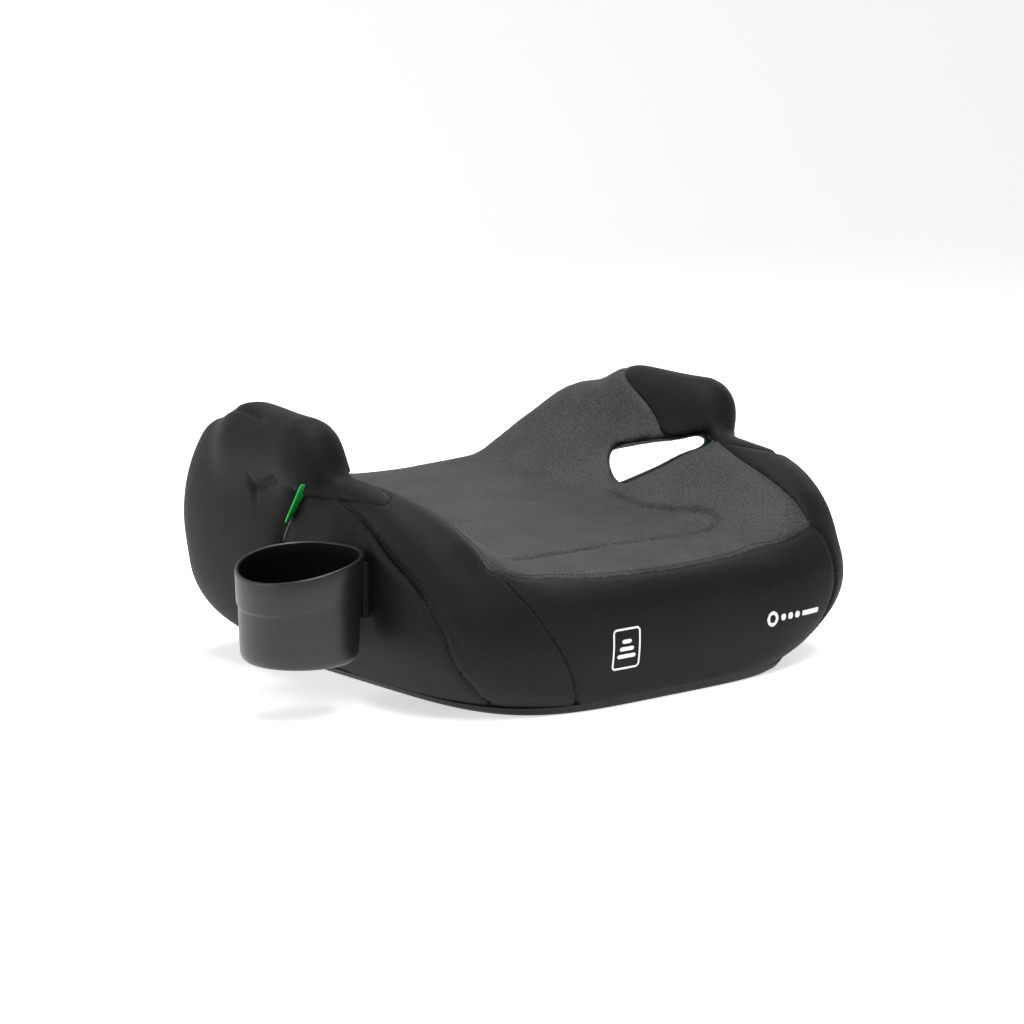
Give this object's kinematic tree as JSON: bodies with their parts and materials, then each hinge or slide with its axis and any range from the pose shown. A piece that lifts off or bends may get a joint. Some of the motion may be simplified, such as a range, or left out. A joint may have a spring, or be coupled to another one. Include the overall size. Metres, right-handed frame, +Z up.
{
  "type": "booster seat",
  "caption": "Backless car booster seat with padded cover, forward-curving armrest horns, lap-belt slots, side cup holder and stowable anchor latches.",
  "frame": {"origin": "on the floor under the middle of the seat, in the plane of the base tray's underside", "axes": "+X to the right as seen from the front of the seat, front towards -Y, +Z up"},
  "size_m": [0.5412, 0.388, 0.211],
  "materials": {
    "shell_plastic": "textured black polypropylene",
    "cup_plastic": "satin dark grey polypropylene",
    "guide_plastic": "smooth green polypropylene",
    "button_plastic": "smooth red acetal",
    "latch_plastic": "glass-filled nylon",
    "grey_fabric": "grey melange polyester knit",
    "black_fabric": "black polyester knit",
    "elastic": "black covered elastic hem",
    "foam": "moulded polyurethane foam",
    "latch_steel": "zinc-plated steel",
    "screw_steel": "blackened steel",
    "strip_rubber": "soft thermoplastic rubber"
  },
  "bodies": {
    "seat": {"base_tray": "shell_plastic", "seat_shell": "shell_plastic", "left_horn_frame": "shell_plastic", "right_horn_frame": "shell_plastic", "left_guide_rail": "shell_plastic", "right_guide_rail": "shell_plastic", "anti_slip_strips": "strip_rubber", "base_screws": "screw_steel", "horn_screws": "screw_steel", "seat_foam": "foam", "left_bolster_foam": "foam", "right_bolster_foam": "foam", "left_horn_foam": "foam", "right_horn_foam": "foam", "left_belt_guide": "guide_plastic", "right_belt_guide": "guide_plastic", "seat_cover": "grey_fabric", "front_cover": "black_fabric", "left_horn_cover": "black_fabric", "right_horn_cover": "black_fabric", "left_corner_cover": "black_fabric", "right_corner_cover": "black_fabric", "rear_cover": "black_fabric", "left_side_cover": "black_fabric", "right_side_cover": "black_fabric", "hem_elastic": "elastic", "cup_bracket": "cup_plastic"},
    "latch_carriage": {"left_latch_arm": "latch_plastic", "right_latch_arm": "latch_plastic", "cross_tube": "latch_steel", "left_hook_pin": "latch_steel", "right_hook_pin": "latch_steel"},
    "left_hook": {"left_latch_hook": "latch_steel"},
    "right_hook": {"right_latch_hook": "latch_steel"},
    "left_button": {"left_release_button": "button_plastic"},
    "right_button": {"right_release_button": "button_plastic"},
    "cup": {"cup_holder": "cup_plastic"}
  },
  "joints": [
    {"name": "latch_extend", "type": "slide", "parent": "seat", "child": "latch_carriage", "axis": [0, 1, 0], "range_m": [0, 0.1]},
    {"name": "cup_lift", "type": "slide", "parent": "seat", "child": "cup", "axis": [0, 0, 1], "range_m": [0, 0.028]},
    {"name": "left_button_press", "type": "slide", "parent": "latch_carriage", "child": "left_button", "axis": [0, -1, 0], "range_m": [0, 0.008], "stiffness_N_per_m": 400, "springref_m": -0.004},
    {"name": "left_hook_swing", "type": "hinge", "parent": "latch_carriage", "child": "left_hook", "pos_m": [-0.14, 0.128, 0.06], "axis": [1, 0, 0], "range_deg": [0, 32]},
    {"name": "right_button_press", "type": "slide", "parent": "latch_carriage", "child": "right_button", "axis": [0, -1, 0], "range_m": [0, 0.008], "stiffness_N_per_m": 400, "springref_m": -0.004},
    {"name": "right_hook_swing", "type": "hinge", "parent": "latch_carriage", "child": "right_hook", "pos_m": [0.14, 0.128, 0.06], "axis": [1, 0, 0], "range_deg": [0, 32]}
  ],
  "couplings": [
    {"joint": "left_hook_swing", "follows": "left_button_press", "rad_per_m": 65},
    {"joint": "right_hook_swing", "follows": "right_button_press", "rad_per_m": 65}
  ]
}
